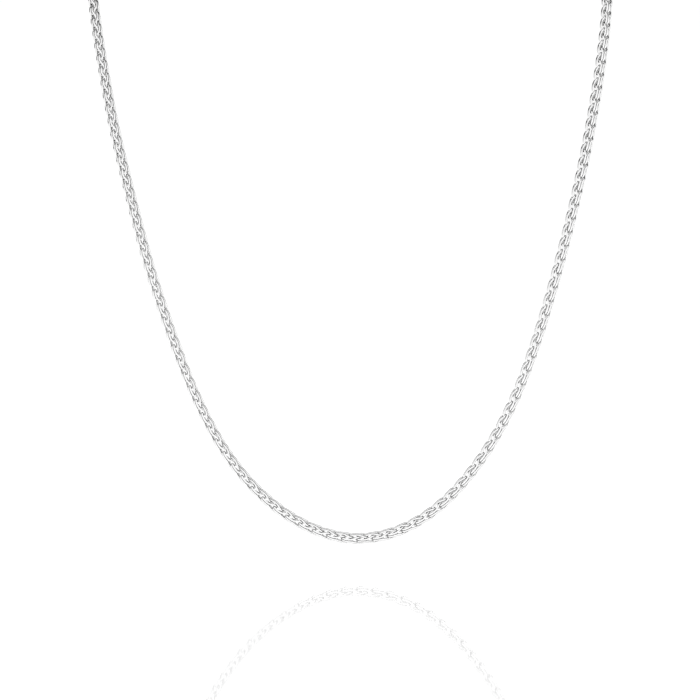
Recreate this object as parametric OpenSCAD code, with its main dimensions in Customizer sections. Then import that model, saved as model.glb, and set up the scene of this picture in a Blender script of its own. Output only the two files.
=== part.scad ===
// Wheat chain necklace on a small hook-and-ring fastening, worn round a neck
// The origin is where the fastening touches the nape: +X to the wearer's left, -Y to the front, +Z up

/* [Chain] */
// Width of the chain across its flats
chain_w = 2.2; // [1.4:0.1:3]
// Sides of the chain's outer form
chain_sides = 8; // [8:1:12]
// Rings of points along the chain's outer form
chain_rings = 79; // [60:1:80]

/* [End caps] */
// Length of chain that each cap holds
cap_hold = 3; // [2:0.5:5]
// Wall round the chain's end
cap_wall = 0.35; // [0.25:0.05:0.6]
// Closed end of the cap
cap_floor = 1; // [0.6:0.1:2]
// Depth of the rounded shoulder on the closed end
cap_shoulder = 0.5; // [0.2:0.1:0.6]
// Wire of the eye soldered to each cap
cap_eye_wire = 0.7; // [0.5:0.05:1]
// Depth that the eye's wire is let into the cap's closed end
eye_sink = 0.3; // [0.15:0.05:0.4]

/* [Rings] */
// Wire of the small ring on the left cap
jump_wire = 0.7; // [0.5:0.05:1]
// Wire of the larger ring on the right cap
end_wire = 0.8; // [0.5:0.05:1.2]

/* [Clasp] */
// Wire of the clasp's oval hoop
clasp_wire = 1.2; // [0.8:0.1:1.6]
// Inner length of the oval hoop
clasp_in_l = 6.6; // [5:0.2:10]
// Wire of the eye on the clasp's end
clasp_eye_wire = 0.8; // [0.5:0.05:1.2]

/* [Clearances] */
// Gap round the chain inside a cap, and between its end and the cap's floor
cap_clear = 0.1; // [0.05:0.05:0.2]
// Gap between two wires that pull on each other
pull_gap = 0.1; // [0.05:0.05:0.2]
// Free width beside the wire that passes through an eye
eye_play = 0.9; // [0.6:0.1:1.5]
// Free length inside a ring beside the two wires that it holds
ring_play = 1.1; // [0.8:0.1:2]
// Free width beside the ring that passes through the oval hoop
hoop_play = 2; // [1.5:0.1:3]

/* [Hidden] */
$fn = 48;

// Radius of the chain's outer form to its corners
chain_r = chain_w / 2 / cos(180 / chain_sides);

// Inner diameters, each from the wires that pass through it
cap_eye_in = max(jump_wire, end_wire) + eye_play;
clasp_eye_in = jump_wire + eye_play;
jump_in = cap_eye_wire + clasp_eye_wire + ring_play;
end_in = clasp_wire + cap_eye_wire + ring_play;
clasp_in_w = end_wire + hoop_play;

// The cap, measured from the middle of its eye towards the chain
cap_r = chain_r + cap_clear + cap_wall;
cap_top = cap_eye_in / 2 + cap_eye_wire - eye_sink;
cap_seat = cap_top + cap_floor + cap_clear;
cap_l = cap_floor + cap_clear + cap_hold;

// The oval hoop's centreline
hoop_r = (clasp_in_w + clasp_wire) / 2;
hoop_straight = clasp_in_l - clasp_in_w;

// Steps along X from one middle to the next, from the left cap's eye to the right cap's
cap_to_jump = (cap_eye_in + jump_in) / 2 - pull_gap;
jump_to_eye = (jump_in + clasp_eye_in) / 2 - pull_gap;
eye_to_hoop = (clasp_eye_in + clasp_wire) / 2 + hoop_r;
hoop_to_ring = hoop_straight + clasp_in_w / 2 + end_in / 2 - pull_gap;
ring_to_cap = (end_in + cap_eye_in) / 2 - pull_gap;
row_l = cap_to_jump + jump_to_eye + eye_to_hoop + hoop_to_ring + ring_to_cap;

// Places along X, the whole row centred on the nape
left_eye_x = -row_l / 2;
jump_x = left_eye_x + cap_to_jump;
clasp_eye_x = jump_x + jump_to_eye;
hoop_x = clasp_eye_x + eye_to_hoop;
end_ring_x = hoop_x + hoop_to_ring;
right_eye_x = end_ring_x + ring_to_cap;
nape_y = end_in / 2 + end_wire;

// Points that steer the chain from the left of the nape, down the front and up to the right
route_points = [
  [-36.5, -5, 0], [-45, -17, -1], [-50.5, -30.5, -5], [-52.5, -42.5, -12.5],
  [-51.5, -51, -23.5], [-49, -57, -36.5], [-46.5, -62.5, -49], [-43, -67.5, -62],
  [-39.5, -72, -75], [-35, -75, -88.5], [-30, -77.5, -101.5], [-23.5, -80, -114],
  [-13.5, -82.5, -124.5], [0.5, -84, -130.5], [14.5, -83, -126], [24.5, -80.5, -115.5],
  [31.5, -78, -103.5], [36.5, -75.5, -90], [40.5, -72.5, -76.5], [44, -69, -63.5],
  [47, -64, -50.5], [49.5, -58.5, -37.5], [51.5, -52.5, -24.5], [52, -44, -13],
  [50, -32, -5.5], [44.5, -18, -1.5], [36, -5, 0]];

// The chain leaves each cap straight, then follows the points round the neck
chain_end_x = row_l / 2 + cap_seat;
lead = 14.5;
route = concat(
  [[-chain_end_x, nape_y, 0], [-chain_end_x - lead, nape_y, 0]],
  route_points,
  [[chain_end_x + lead, nape_y, 0], [chain_end_x, nape_y, 0]]);

// A direction that is never along the chain, to keep the outer form from turning
loop_axis = [0, 3, -2];

function unit(v) = v / norm(v);

// A smooth curve that the points steer, starting at the first and ending at the last
spans = len(route) - 1;
steer = concat([2 * route[0] - route[1]], route, [2 * route[spans] - route[spans - 1]]);

function curve_at(i, u) = (
  steer[i] * pow(1 - u, 3) + steer[i + 1] * (3 * pow(u, 3) - 6 * u * u + 4)
  + steer[i + 2] * (-3 * pow(u, 3) + 3 * u * u + 3 * u + 1) + steer[i + 3] * pow(u, 3)) / 6;

function heading_at(i, u) = unit(
  -steer[i] * pow(1 - u, 2) + steer[i + 1] * (3 * u * u - 4 * u)
  + steer[i + 2] * (-3 * u * u + 2 * u + 1) + steer[i + 3] * u * u);

// Corners of one ring of the outer form, with a flat facing each way
function ring_at(i, u) =
  let (heading = heading_at(i, u), side = unit(cross(heading, loop_axis)), lift = cross(side, heading))
  [for (k = [0 : chain_sides - 1])
    let (a = (k + 0.5) * 360 / chain_sides)
    curve_at(i, u) + chain_r * (cos(a) * side + sin(a) * lift)];

// The chain's outer form, one closed tube
module chain() {
  last = chain_rings - 1;
  points = [for (r = [0 : last])
    let (s = r * spans / last, i = min(floor(s), spans - 1))
    each ring_at(i, s - i)];
  start_face = [for (k = [chain_sides - 1 : -1 : 0]) k];
  end_face = [for (k = [0 : chain_sides - 1]) last * chain_sides + k];
  walls = [for (r = [0 : last - 1], k = [0 : chain_sides - 1])
    let (a = r * chain_sides + k, b = r * chain_sides + (k + 1) % chain_sides)
    each [[a, b, a + chain_sides], [b, b + chain_sides, a + chain_sides]]];
  color("gainsboro") polyhedron(points, concat([start_face], walls, [end_face]), convexity = 10);
}

// A round wire bent into a ring that lies in the XY plane
module wire_ring(inner, wire) {
  rotate_extrude() translate([(inner + wire) / 2, 0]) circle(d = wire, $fn = 24);
}

// The same ring standing in the XZ plane
module upright_ring(inner, wire) {
  rotate([90, 0, 0]) wire_ring(inner, wire);
}

// Cup soldered over the chain's end, its eye at the origin and its mouth towards -X
module end_cap() {
  color("silver") union() {
    upright_ring(cap_eye_in, cap_eye_wire);
    translate([-cap_top, 0, 0]) rotate([0, -90, 0]) rotate_extrude() cap_section();
  }
}

// Half section of the cup, closed end at y = 0, rounded shoulder, open mouth at the far end
module cap_section() {
  bore_r = chain_r + cap_clear;
  shoulder = min(cap_shoulder, cap_floor, cap_r / 2);
  difference() {
    union() {
      translate([0, shoulder]) square([cap_r, cap_l - shoulder]);
      square([cap_r - shoulder, shoulder + cap_wall]);
      translate([cap_r - shoulder, shoulder]) circle(r = shoulder, $fn = 32);
    }
    translate([-cap_r, cap_floor]) square([cap_r + bore_r, cap_l]);
    translate([-cap_r, -cap_l]) square([cap_r, 3 * cap_l]);
  }
}

module end_cap_left() {
  translate([left_eye_x, nape_y, 0]) end_cap();
}

module end_cap_right() {
  translate([right_eye_x, nape_y, 0]) mirror([1, 0, 0]) end_cap();
}

module jump_ring() {
  color("silver") translate([jump_x, nape_y, 0]) wire_ring(jump_in, jump_wire);
}

module end_ring() {
  color("silver") translate([end_ring_x, nape_y, 0]) wire_ring(end_in, end_wire);
}

// Half of the oval hoop's bend, its open side towards +X
module hoop_bend() {
  rotate([90, 0, 0]) rotate([0, 0, 90])
    rotate_extrude(angle = 180) translate([hoop_r, 0]) circle(d = clasp_wire, $fn = 32);
}

// Plain closed clasp, one piece: an eye for the small ring and an oval hoop for the larger one
module clasp() {
  color("silver") translate([clasp_eye_x, nape_y, 0]) union() {
    upright_ring(clasp_eye_in, clasp_eye_wire);
    translate([eye_to_hoop, 0, 0]) {
      hoop_bend();
      translate([hoop_straight, 0, 0]) mirror([1, 0, 0]) hoop_bend();
      for (z = [-hoop_r, hoop_r])
        translate([0, 0, z]) rotate([0, 90, 0]) cylinder(d = clasp_wire, h = hoop_straight, $fn = 32);
    }
  }
}

chain();
end_cap_left();
end_cap_right();
jump_ring();
clasp();
end_ring();
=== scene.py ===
import math

import bpy
import numpy as np
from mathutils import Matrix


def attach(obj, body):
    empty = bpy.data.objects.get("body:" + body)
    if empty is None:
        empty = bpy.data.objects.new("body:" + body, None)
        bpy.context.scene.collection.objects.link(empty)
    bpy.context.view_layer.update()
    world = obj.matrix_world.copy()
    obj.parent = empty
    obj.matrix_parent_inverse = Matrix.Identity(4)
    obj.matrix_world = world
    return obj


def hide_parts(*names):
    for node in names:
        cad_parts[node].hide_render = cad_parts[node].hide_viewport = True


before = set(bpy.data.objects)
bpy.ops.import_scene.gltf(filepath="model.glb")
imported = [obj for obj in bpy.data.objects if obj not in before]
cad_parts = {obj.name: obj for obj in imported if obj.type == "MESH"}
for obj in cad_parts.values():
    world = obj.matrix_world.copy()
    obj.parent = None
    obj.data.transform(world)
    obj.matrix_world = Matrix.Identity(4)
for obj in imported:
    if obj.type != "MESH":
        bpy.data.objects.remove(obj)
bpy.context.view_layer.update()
mm = 0.001
print("frame loaded, nodes:", ", ".join(sorted(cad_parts)))


# The chain's route in metres: points that steer it from the left cap, round the front, to the right cap.

capEnd = 0.0105  # from the middle of the nape to the chain's end, along X
capLead = 0.0145  # length that leaves each cap straight
napeDepth = 0.0023  # how far the row of fastenings lies behind the nape, along Y
neverAlong = (0.0, 3.0, -2.0)  # a direction that the chain never takes; its sides are square to this
routePoints = [
    (-0.0365, -0.0050, 0.0000), (-0.0450, -0.0170, -0.0010), (-0.0505, -0.0305, -0.0050),
    (-0.0525, -0.0425, -0.0125), (-0.0515, -0.0510, -0.0235), (-0.0490, -0.0570, -0.0365),
    (-0.0465, -0.0625, -0.0490), (-0.0430, -0.0675, -0.0620), (-0.0395, -0.0720, -0.0750),
    (-0.0350, -0.0750, -0.0885), (-0.0300, -0.0775, -0.1015), (-0.0235, -0.0800, -0.1140),
    (-0.0135, -0.0825, -0.1245), (0.0005, -0.0840, -0.1305), (0.0145, -0.0830, -0.1260),
    (0.0245, -0.0805, -0.1155), (0.0315, -0.0780, -0.1035), (0.0365, -0.0755, -0.0900),
    (0.0405, -0.0725, -0.0765), (0.0440, -0.0690, -0.0635), (0.0470, -0.0640, -0.0505),
    (0.0495, -0.0585, -0.0375), (0.0515, -0.0525, -0.0245), (0.0520, -0.0440, -0.0130),
    (0.0500, -0.0320, -0.0055), (0.0445, -0.0180, -0.0015), (0.0360, -0.0050, 0.0000)]


def makeRoute(stepsPerSpan=60):
    # Uniform cubic B-spline: each span blends four steering points by (1-u)^3, 3u^3-6u^2+4,
    # -3u^3+3u^2+3u+1 and u^3, over six. Mirrored end points make it start and end on the outer ones.
    ends = [(side * x, napeDepth, 0.0) for side in (-1, 1) for x in (capEnd, capEnd + capLead)]
    points = np.array([ends[0], ends[1], *routePoints, ends[3], ends[2]])
    steer = np.vstack([2 * points[0] - points[1], points, 2 * points[-1] - points[-2]])
    spans = len(points) - 1
    t = np.linspace(0, spans, spans * stepsPerSpan + 1)
    i = np.minimum(t.astype(int), spans - 1)
    u = (t - i)[:, None]
    line = (steer[i] * (1 - u) ** 3 + steer[i + 1] * (3 * u**3 - 6 * u**2 + 4)
            + steer[i + 2] * (-3 * u**3 + 3 * u**2 + 3 * u + 1) + steer[i + 3] * u**3) / 6
    along = np.r_[0, np.cumsum(np.linalg.norm(np.diff(line, axis=0), axis=1))]
    return line, along


def unitRows(v):
    return v / np.linalg.norm(v, axis=-1, keepdims=True)


def routeFrames(line, along):
    # Heading is the line's slope, side is square to it and to neverAlong, lift is square to both.
    heading = unitRows(np.gradient(line, along, axis=0))
    side = unitRows(np.cross(heading, neverAlong))
    return side, np.cross(side, heading)


# Wheat chain: folded wire links, each a quarter turn and half a repeat on from the last.

chainLook = {
    "wire": 0.37 * mm,  # thickness of the link wire
    "repeat": 2.86 * mm,  # length from one link to the next that faces the same way
    "outward": 0.90 * mm,  # unit of the table's first column, out from the chain's middle
    "aside": 0.80 * mm,  # unit of its second column, across the link's arm
    "height": 3.70 * mm,  # unit of its third column, along the chain from the fold to the tips
    "endGap": 0.25 * mm,  # free length at each end, inside the cap
    "sides": 4,  # sides of the wire before smoothing
    "smoothing": 1,  # levels of Subdivision Surface
    "turnFirst": 53.0,  # degrees from the front to the links' own side, on the strand at -X
    "turnLast": 73.0,  # the same on the strand at +X
    "turnFrom": 180 * mm,  # distance along the chain at which the first turn starts to become the last
    "turnTo": 250 * mm,  # distance at which it has become the last
    "seenFrom": 84 * mm,  # start of the front stretch, behind which the turn stays as it is there
    "seenTo": 345 * mm,  # end of the front stretch
}

# A quarter of a link, from the middle of its fold to a tip: shares of outward, aside and height.
linkQuarter = [
    (0.00, 0.28, 0.00), (0.80, 0.25, 0.08), (1.00, 0.27, 0.30), (1.00, 0.22, 0.51),
    (0.89, 0.58, 0.69), (0.53, 0.95, 0.90), (0.20, 0.00, 1.00)]


def linkTube(look):
    # The quarter, its mirror image over the fold and both turned half round steer a closed wire. A ring of
    # points stands round each, square to the wire: centre + radius * (cos a * out + sin a * across).
    quarter = np.array(linkQuarter) * [look["outward"], look["aside"], look["height"]]
    half = np.vstack([quarter[:0:-1], quarter[:-1] * [-1, 1, 1]])
    loop = np.vstack([half, half * [-1, -1, 1]])
    slope = unitRows(np.roll(loop, -1, 0) - np.roll(loop, 1, 0))
    across = unitRows(np.cross(slope, loop - [0, 0, look["height"] / 2]))
    out = np.cross(across, slope)
    n = look["sides"]
    angle = (np.arange(n) + 0.5) * 2 * math.pi / n
    smoothed = (4 + 2 * math.cos(2 * math.pi / n)) / 6  # share of the radius that the smoothing leaves
    ring = np.cos(angle)[:, None] * out[:, None] + np.sin(angle)[:, None] * across[:, None]
    return (loop[:, None] + look["wire"] / 2 / smoothed * ring).reshape(-1, 3), len(loop)


def tubeFaces(rings, sides):
    # One four-sided face between each pair of neighbouring rings and sides, closed both ways.
    a, b = np.meshgrid(np.arange(rings), np.arange(sides), indexing="ij")
    nextA, nextB = (a + 1) % rings, (b + 1) % sides
    corners = [a * sides + b, a * sides + nextB, nextA * sides + nextB, nextA * sides + b]
    return np.stack(corners, -1).reshape(-1, 4)


def makeMesh(name, points, faces, material):
    mesh = bpy.data.meshes.new(name)
    mesh.vertices.add(len(points))
    mesh.vertices.foreach_set("co", points.astype(np.float32).ravel())
    mesh.loops.add(faces.size)
    mesh.loops.foreach_set("vertex_index", faces.astype(np.int32).ravel())
    mesh.polygons.add(len(faces))
    mesh.polygons.foreach_set("loop_start", np.arange(0, faces.size, faces.shape[1], dtype=np.int32))
    mesh.polygons.foreach_set("use_smooth", np.ones(len(faces), bool))
    mesh.update(calc_edges=True)
    mesh.validate()
    mesh.materials.append(material)
    piece = bpy.data.objects.new(name, mesh)
    bpy.context.scene.collection.objects.link(piece)
    return piece


def linkRoll(look, s, along, side, lift):
    # Angle of the front (-Y) in the chain's cross section, plus the strand's own turn, which goes from
    # turnFirst to turnLast by 3u^2 - 2u^3.
    front = np.arctan2(-lift[:, 1], -side[:, 1])
    u = np.clip((s - look["turnFrom"]) / (look["turnTo"] - look["turnFrom"]), 0, 1)
    turn = look["turnFirst"] + (look["turnLast"] - look["turnFirst"]) * (3 * u**2 - 2 * u**3)
    return np.interp(np.clip(s, look["seenFrom"], look["seenTo"]), along, front) + np.radians(turn)


def makeLinks(look, material):
    # Each point of the straight link goes to route(s) + x * side(s) + y * lift(s), s being its link's start
    # plus its own height, with x and y turned by the roll there.
    line, along = makeRoute()
    side, lift = routeFrames(line, along)
    tube, rings = linkTube(look)
    faces = tubeFaces(rings, look["sides"])[:, ::-1]
    low, high = tube[:, 2].min(), tube[:, 2].max()
    first = look["endGap"] - low
    room = along[-1] - 2 * look["endGap"] - (high - low)
    count = int(room / (look["repeat"] / 2)) + 1
    starts = first + np.linspace(0, room, count)
    for quarterTurns, name in enumerate(("linksUpright", "linksCrosswise")):
        own = starts[quarterTurns::2]
        s = own[:, None] + tube[:, 2]
        roll = linkRoll(look, s, along, side, lift) + quarterTurns * math.pi / 2
        x = np.cos(roll) * tube[:, 0] - np.sin(roll) * tube[:, 1]
        y = np.sin(roll) * tube[:, 0] + np.cos(roll) * tube[:, 1]
        centre, sideThere, liftThere = [
            np.stack([np.interp(s, along, part[:, k]) for k in range(3)], -1) for part in (line, side, lift)]
        points = centre + x[..., None] * sideThere + y[..., None] * liftThere
        allFaces = faces + (np.arange(len(own)) * len(tube))[:, None, None]
        piece = makeMesh(name, points.reshape(-1, 3), allFaces.reshape(-1, 4), material)
        smooth = piece.modifiers.new("roundWire", "SUBSURF")
        smooth.levels = smooth.render_levels = look["smoothing"]
        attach(piece, "root")
        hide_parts("chain")
    print("chain:", count, "links of", len(faces), "faces along", round(along[-1] / mm, 1), "mm")


# Materials


def linearColour(code):
    # sRGB hex to linear: c/12.92 below 0.04045, else ((c+0.055)/1.055)^2.4.
    parts = [int(code[i:i + 2], 16) / 255 for i in (1, 3, 5)]
    return tuple(c / 12.92 if c <= 0.04045 else ((c + 0.055) / 1.055) ** 2.4 for c in parts) + (1.0,)


def addNode(tree, kind, settings=None, inputs=None):
    node = tree.nodes.new(kind)
    for key, value in (settings or {}).items():
        setattr(node, key, value)
    for key, value in (inputs or {}).items():
        if isinstance(value, bpy.types.NodeSocket):
            tree.links.new(value, node.inputs[key])
        else:
            node.inputs[key].default_value = value
    return node


def newMaterial(name):
    material = bpy.data.materials.new(name)
    material.use_nodes = True
    material.node_tree.nodes.clear()
    return material, material.node_tree


silverLook = {
    "unshadedSilver": "#fafafa",  # silver where the painted crevice shade is gone, on the open outer side of the wire
    "paintedShade": "#000000",  # painted shade: black mixed into the colour between the wires, where no light gets in
    "crevice": 0.30 * mm,  # distance over which neighbouring wires are sought for the painted shade
    "openFrom": 0.38,  # share of open sky at which the painted shade is full and the wire darkest
    "openTo": 0.76,  # share from which the painted shade is gone
    "cloud": 0.45 * mm,  # size of the polish's cloudy patches
    "cloudDetail": 3.0,  # finer layers within them
    "roughFrom": 0.01,  # roughness of the clearest patches
    "roughTo": 0.06,  # roughness of the cloudiest
}


def polishedSilver(name, look):
    # Sterling silver, tumble-polished: near-white mirror, a little cloudy, with painted shade in its
    # crevices: ambient occlusion mixes its colour towards black where wires crowd each other.
    material, tree = newMaterial(name)
    place = addNode(tree, "ShaderNodeTexCoord")
    cloud = addNode(tree, "ShaderNodeTexNoise", None, {
        "Vector": place.outputs["Object"], "Scale": 1 / look["cloud"], "Detail": look["cloudDetail"]})
    rough = addNode(tree, "ShaderNodeMapRange", None,
                    {"Value": cloud.outputs["Fac"], "To Min": look["roughFrom"], "To Max": look["roughTo"]})
    # Painted shade: the occlusion share turns the colour from unshaded silver to black between the wires.
    sky = addNode(tree, "ShaderNodeAmbientOcclusion", {"samples": 16}, {"Distance": look["crevice"]})
    share = addNode(tree, "ShaderNodeMapRange", None, {
        "Value": sky.outputs["AO"], "From Min": look["openFrom"], "From Max": look["openTo"]})
    paintedShadeMix = addNode(tree, "ShaderNodeMix", {"data_type": "RGBA"}, {
        0: share.outputs["Result"], 6: linearColour(look["paintedShade"]), 7: linearColour(look["unshadedSilver"])})
    shader = addNode(tree, "ShaderNodeBsdfPrincipled", None, {
        "Base Color": paintedShadeMix.outputs[2], "Metallic": 1.0, "Roughness": rough.outputs["Result"]})
    addNode(tree, "ShaderNodeOutputMaterial", None, {"Surface": shader.outputs["BSDF"]})
    return material


def litAcrylic(look):
    # Opal acrylic sheet, cast and lit from below: white and glowing under a blurred mirror.
    material, tree = newMaterial("litOpalAcrylic")
    white = addNode(tree, "ShaderNodeBsdfDiffuse", None, {"Color": linearColour(look["floorColour"])})
    glow = addNode(tree, "ShaderNodeEmission", None, {"Strength": look["floorGlow"]})
    lit = addNode(tree, "ShaderNodeAddShader", None, {0: white.outputs[0], 1: glow.outputs[0]})
    gloss = addNode(tree, "ShaderNodeBsdfGlossy", None,
                    {"Color": linearColour("#ffffff"), "Roughness": look["floorRoughness"]})
    both = addNode(tree, "ShaderNodeMixShader", None,
                   {0: look["floorMirror"], 1: lit.outputs[0], 2: gloss.outputs[0]})
    addNode(tree, "ShaderNodeOutputMaterial", None, {"Surface": both.outputs[0]})
    return material


# Floor, light and camera

stageLook = {
    "floorLevel": -0.1337,  # height of the floor, a little under the chain's lowest link
    "floorSize": 30.0,  # side of the square sheet
    "floorColour": "#808080",  # colour of the sheet by itself
    "floorGlow": 1.15,  # light from below
    "floorMirror": 0.50,  # share of the floor's light that is reflected
    "floorRoughness": 0.022,  # blur of the reflection
    "cameraPlace": (0.0, -0.684, -0.093),  # the camera looks level along +Y from here
    "lens": 162.8,  # focal length in mm
    "sensor": 36.0,  # width of the film in mm
    "clip": (0.01, 100.0),  # nearest and furthest distance that shows
    "tentLight": 1.02,  # brightness of the white tent all round
    "flagLight": 0.0,  # brightness of the black flag behind the chain
    "flagTowards": (0.0, 0.80, 0.60),  # where its middle hangs, seen from the chain
    "flagEdge": (0.39, 0.57),  # cosines of the angles at which it starts and is full
    "gapEdge": (0.90, 0.96),  # the same for the white gap in it, straight behind the chain
}


def makeFloor(look, material):
    half = look["floorSize"] / 2
    corners = np.array([(-half, -half, 0), (half, -half, 0), (half, half, 0), (-half, half, 0)])
    floor = makeMesh("floor", corners + [0, 0, look["floorLevel"]], np.array([[0, 1, 2, 3]]), material)


def makeWorld(look):
    # White tent with one soft black flag that has a white gap straight behind the chain. The light goes from
    # tentLight to flagLight by flag(angle from its middle) * (1 - gap(angle from straight behind)).
    world = bpy.data.worlds.new("studio")
    world.use_nodes = True
    tree = world.node_tree
    tree.nodes.clear()
    place = addNode(tree, "ShaderNodeTexCoord")

    def around(towards, edge, low, high):
        near = addNode(tree, "ShaderNodeVectorMath", {"operation": "DOT_PRODUCT"},
                       {0: place.outputs["Generated"], 1: towards})
        return addNode(tree, "ShaderNodeMapRange", {"interpolation_type": "SMOOTHSTEP"}, {
            "Value": near.outputs["Value"], "From Min": edge[0], "From Max": edge[1],
            "To Min": low, "To Max": high}).outputs["Result"]

    flag = around(look["flagTowards"], look["flagEdge"], 0.0, 1.0)
    outsideGap = around((0.0, 1.0, 0.0), look["gapEdge"], 1.0, 0.0)
    dark = addNode(tree, "ShaderNodeMath", {"operation": "MULTIPLY"}, {0: flag, 1: outsideGap})
    light = addNode(tree, "ShaderNodeMapRange", None, {
        "Value": dark.outputs[0], "To Min": look["tentLight"], "To Max": look["flagLight"]})
    tent = addNode(tree, "ShaderNodeBackground", None,
                   {"Color": (1, 1, 1, 1), "Strength": light.outputs["Result"]})
    addNode(tree, "ShaderNodeOutputWorld", None, {"Surface": tent.outputs[0]})
    bpy.context.scene.world = world


def makeCamera(look):
    data = bpy.data.cameras.new("camera")
    data.lens, data.sensor_width = look["lens"], look["sensor"]
    data.clip_start, data.clip_end = look["clip"]
    camera = bpy.data.objects.new("camera", data)
    camera.location = look["cameraPlace"]
    camera.rotation_euler = (math.pi / 2, 0, 0)
    bpy.context.scene.collection.objects.link(camera)
    bpy.context.scene.camera = camera


makeCamera(stageLook)
makeLinks(chainLook, polishedSilver("polishedChainSilver", silverLook))
# The fittings get the same silver, with the same painted crevice shade.
fittingSilver = polishedSilver("polishedFittingSilver", silverLook)
for name in ("end_cap_left", "end_cap_right", "jump_ring", "clasp", "end_ring"):
    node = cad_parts[name]
    node.data.materials.clear()
    node.data.materials.append(fittingSilver)
print("fittings: silver set on 5 nodes")
makeFloor(stageLook, litAcrylic(stageLook))
makeWorld(stageLook)
bpy.context.scene.view_settings.view_transform = "Standard"
print("floor, tent and camera set")
